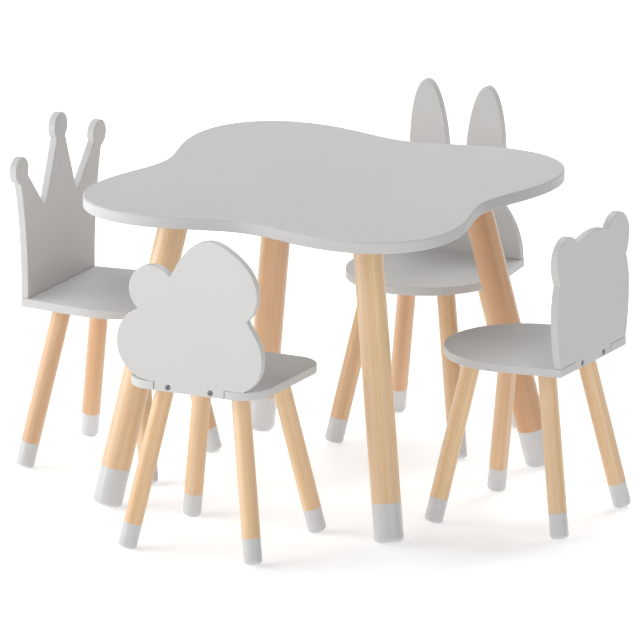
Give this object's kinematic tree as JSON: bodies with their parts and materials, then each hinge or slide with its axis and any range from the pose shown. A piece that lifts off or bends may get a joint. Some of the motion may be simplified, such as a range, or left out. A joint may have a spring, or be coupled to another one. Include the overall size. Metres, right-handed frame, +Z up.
{
  "type": "kids table and chairs",
  "caption": "Low children's table with a wavy-edged top on splayed round legs, with loose chairs whose backs are shaped as a cloud, a bear, a bunny and a crown.",
  "frame": {"origin": "on the floor under the middle of the tabletop", "axes": "+Z up from the floor; the bear chair is on +X, the crown chair on -X, the bunny chair on +Y and the cloud chair on -Y; every chair faces the middle"},
  "size_m": [0.9836, 0.9646, 0.5605],
  "materials": {
    "board_paint": "satin light grey paint over smooth board",
    "leg_wood": "clear satin lacquer over pale straight-grained beech or pine",
    "tip_paint": "satin light grey, to match the boards",
    "bolt_steel": "zinc plated",
    "insert_zinc": "zinc plated",
    "screw_steel": "dark zinc, hexagon socket"
  },
  "bodies": {
    "table": {"table_top": "board_paint", "table_leg_front_left": "leg_wood", "table_leg_front_right": "leg_wood", "table_leg_rear_left": "leg_wood", "table_leg_rear_right": "leg_wood", "table_leg_tips": "tip_paint", "table_hanger_bolts": "bolt_steel", "table_threaded_inserts": "insert_zinc"},
    "cloud_chair": {"cloud_chair_seat": "board_paint", "cloud_chair_backrest": "board_paint", "cloud_chair_leg_front_left": "leg_wood", "cloud_chair_leg_front_right": "leg_wood", "cloud_chair_leg_rear_left": "leg_wood", "cloud_chair_leg_rear_right": "leg_wood", "cloud_chair_leg_tips": "tip_paint", "cloud_chair_hanger_bolts": "bolt_steel", "cloud_chair_threaded_inserts": "insert_zinc", "cloud_chair_back_screws": "screw_steel"},
    "bear_chair": {"bear_chair_seat": "board_paint", "bear_chair_backrest": "board_paint", "bear_chair_leg_front_left": "leg_wood", "bear_chair_leg_front_right": "leg_wood", "bear_chair_leg_rear_left": "leg_wood", "bear_chair_leg_rear_right": "leg_wood", "bear_chair_leg_tips": "tip_paint", "bear_chair_hanger_bolts": "bolt_steel", "bear_chair_threaded_inserts": "insert_zinc", "bear_chair_back_screws": "screw_steel"},
    "bunny_chair": {"bunny_chair_seat": "board_paint", "bunny_chair_backrest": "board_paint", "bunny_chair_leg_front_left": "leg_wood", "bunny_chair_leg_front_right": "leg_wood", "bunny_chair_leg_rear_left": "leg_wood", "bunny_chair_leg_rear_right": "leg_wood", "bunny_chair_leg_tips": "tip_paint", "bunny_chair_hanger_bolts": "bolt_steel", "bunny_chair_threaded_inserts": "insert_zinc", "bunny_chair_back_screws": "screw_steel"},
    "crown_chair": {"crown_chair_seat": "board_paint", "crown_chair_backrest": "board_paint", "crown_chair_leg_front_left": "leg_wood", "crown_chair_leg_front_right": "leg_wood", "crown_chair_leg_rear_left": "leg_wood", "crown_chair_leg_rear_right": "leg_wood", "crown_chair_leg_tips": "tip_paint", "crown_chair_hanger_bolts": "bolt_steel", "crown_chair_threaded_inserts": "insert_zinc", "crown_chair_back_screws": "screw_steel"}
  },
  "joints": [
    {"name": "cloud_chair_slide", "type": "slide", "parent": "table", "child": "cloud_chair", "axis": [0, -1, 0], "range_m": [-0.1, 0.3]},
    {"name": "bear_chair_slide", "type": "slide", "parent": "table", "child": "bear_chair", "axis": [1, 0, 0], "range_m": [-0.1, 0.3]},
    {"name": "bunny_chair_slide", "type": "slide", "parent": "table", "child": "bunny_chair", "axis": [0, 1, 0], "range_m": [-0.1, 0.3]},
    {"name": "crown_chair_slide", "type": "slide", "parent": "table", "child": "crown_chair", "axis": [-1, 0, 0], "range_m": [-0.1, 0.3]}
  ]
}
